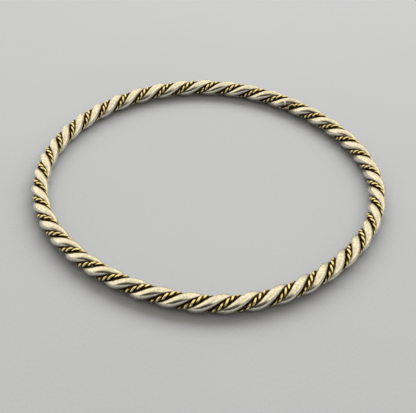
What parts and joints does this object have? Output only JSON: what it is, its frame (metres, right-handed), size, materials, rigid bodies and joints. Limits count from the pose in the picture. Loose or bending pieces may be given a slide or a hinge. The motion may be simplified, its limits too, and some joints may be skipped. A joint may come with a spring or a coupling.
{
  "type": "twisted wire bangle",
  "caption": "Closed round bangle of thick silver wires twisted together, with thin brass ropes laid in the grooves between them; slips over the hand.",
  "frame": {"origin": "middle of the surface that the bangle rests on, where the ring's axis meets it", "axes": "+Z along the ring's axis, upwards as the bangle lies on its side; +X to the right and +Y to the back of the picture's view"},
  "size_m": [0.0733, 0.0733, 0.0037],
  "materials": {
    "silver": "smooth polished silver, softly worn, darkened in the grooves",
    "brass": "warm yellow brass, bright on the strands and brown-black between them"
  },
  "bodies": {
    "root": {"silver_wire_a": "silver", "silver_wire_b": "silver", "brass_rope_a": "brass", "brass_rope_b": "brass"}
  },
  "joints": []
}
